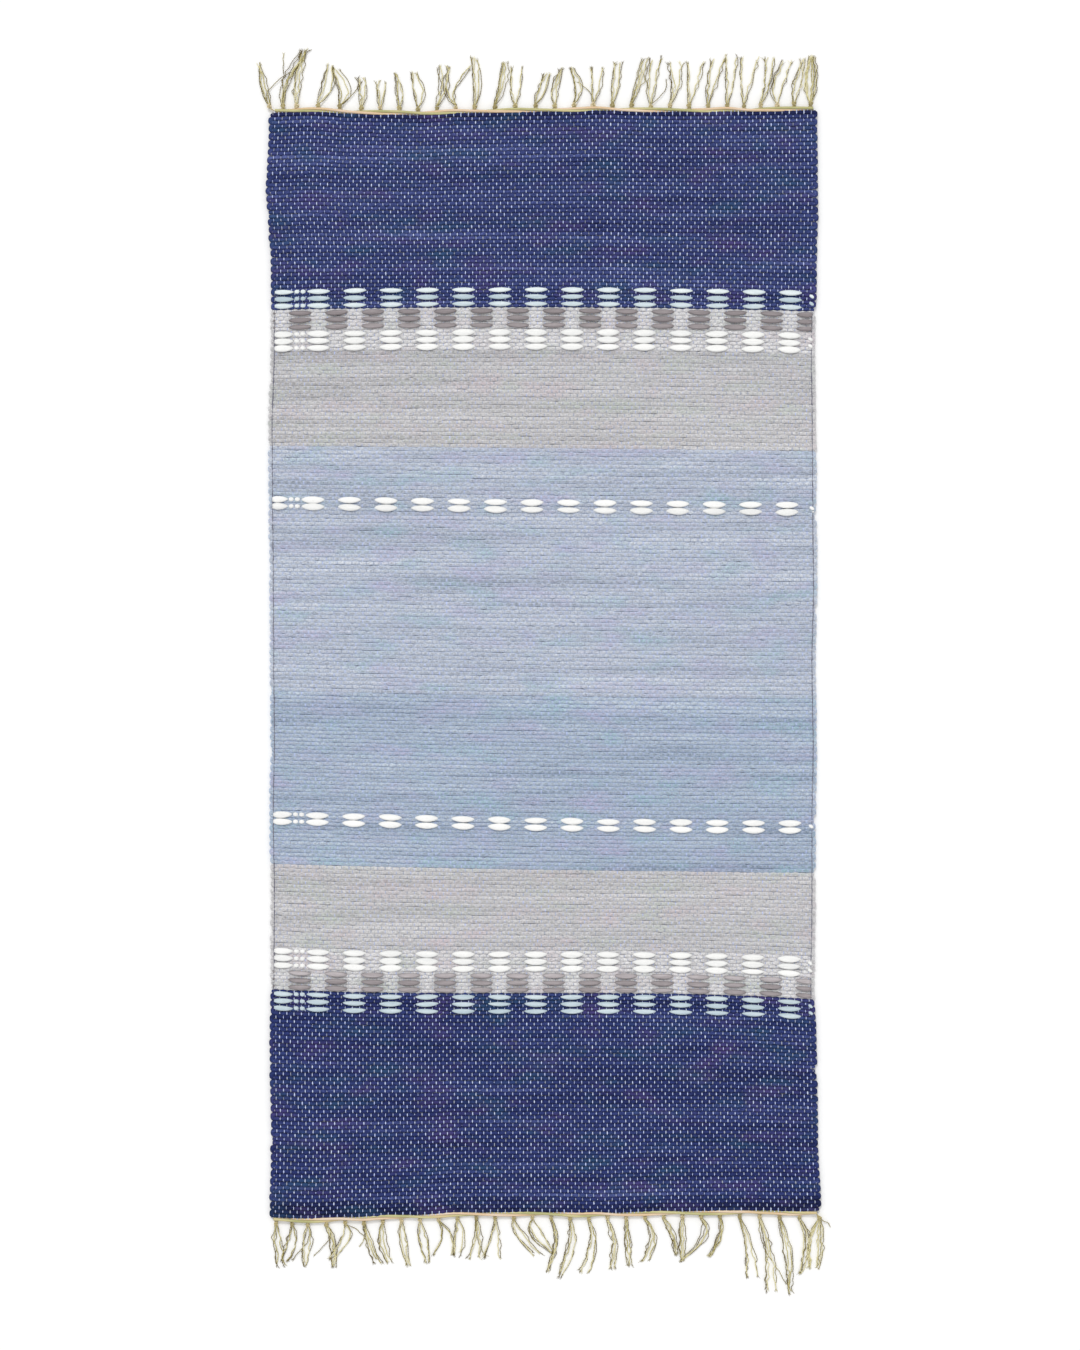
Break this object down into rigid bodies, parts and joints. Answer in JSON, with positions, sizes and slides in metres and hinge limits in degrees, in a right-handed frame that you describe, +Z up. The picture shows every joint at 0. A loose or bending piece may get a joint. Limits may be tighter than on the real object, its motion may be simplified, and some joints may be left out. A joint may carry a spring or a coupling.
{
  "type": "runner rug",
  "caption": "Hand-woven cotton rag runner rug with navy, grey and light blue bands, float rows and a knotted fringe at both ends.",
  "frame": {"origin": "on the floor, under the middle of the rug with its fringe", "axes": "+X across the rug from selvedge to selvedge, +Y along it towards the end with the shorter navy band, +Z up"},
  "size_m": [0.7, 1.6002, 0.0081],
  "materials": {
    "navy_rag": "dark navy cotton rag strip, matt, soft and slightly uneven",
    "grey_rag": "light warm-grey cotton rag strip, matt",
    "light_blue_rag": "pale grey-blue cotton rag strip, matt, streaked",
    "deep_blue_rag": "pale blue cotton rag strip, a little deeper, matt",
    "white_rag": "white cotton rag strip, matt, bulging in its floats",
    "pale_blue_rag": "pale blue-white cotton rag strip, matt",
    "mauve_rag": "mauve-taupe cotton rag strip, matt",
    "heading_cord": "twisted tan cotton cord, matt",
    "knot_yarn": "tan cotton warp yarn pulled into tight knots",
    "fringe_yarn": "unbleached cotton warp yarn, loosely twisted, frayed ends",
    "warp_yarn": "off-white cotton warp yarn, thin, twisted"
  },
  "bodies": {
    "root": {"far_tassels": "fringe_yarn", "far_knots": "knot_yarn", "far_heading_cord": "heading_cord", "far_navy_weft": "navy_rag", "far_pale_blue_rows": "pale_blue_rag", "far_mauve_rows": "mauve_rag", "far_white_rows": "white_rag", "far_grey_weft": "grey_rag", "far_light_blue_weft": "light_blue_rag", "far_white_pair": "white_rag", "middle_light_blue_weft": "light_blue_rag", "middle_deep_blue_weft": "deep_blue_rag", "near_white_pair": "white_rag", "near_deep_blue_weft": "deep_blue_rag", "near_grey_weft": "grey_rag", "near_white_rows": "white_rag", "near_mauve_rows": "mauve_rag", "near_pale_blue_rows": "pale_blue_rag", "near_navy_weft": "navy_rag", "near_heading_cord": "heading_cord", "near_knots": "knot_yarn", "near_tassels": "fringe_yarn", "warp_threads": "warp_yarn", "selvedge_threads": "warp_yarn"}
  },
  "joints": []
}
